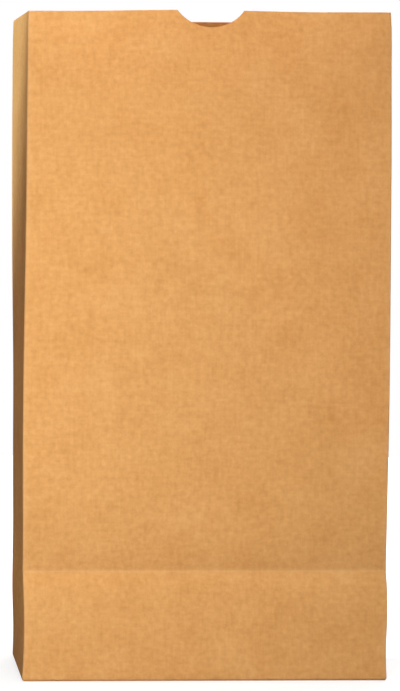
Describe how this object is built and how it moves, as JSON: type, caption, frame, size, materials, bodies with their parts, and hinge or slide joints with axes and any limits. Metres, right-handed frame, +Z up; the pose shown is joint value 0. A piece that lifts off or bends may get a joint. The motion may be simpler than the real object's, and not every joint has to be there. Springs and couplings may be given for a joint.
{
  "type": "paper lunch bag",
  "caption": "Open, free-standing flat-bottomed bag of brown kraft paper with gusseted sides, a glued back seam and a thumb notch in the front panel's mouth edge",
  "frame": {"origin": "the middle of the base, on the surface that the bag stands on", "axes": "+Z up through the mouth, X along the wide panels, -Y towards the front panel with the thumb notch"},
  "size_m": [0.1524, 0.0923, 0.281],
  "materials": {
    "kraft_paper": "matte"
  },
  "bodies": {
    "root": {"paper_bag": "kraft_paper"}
  },
  "joints": []
}
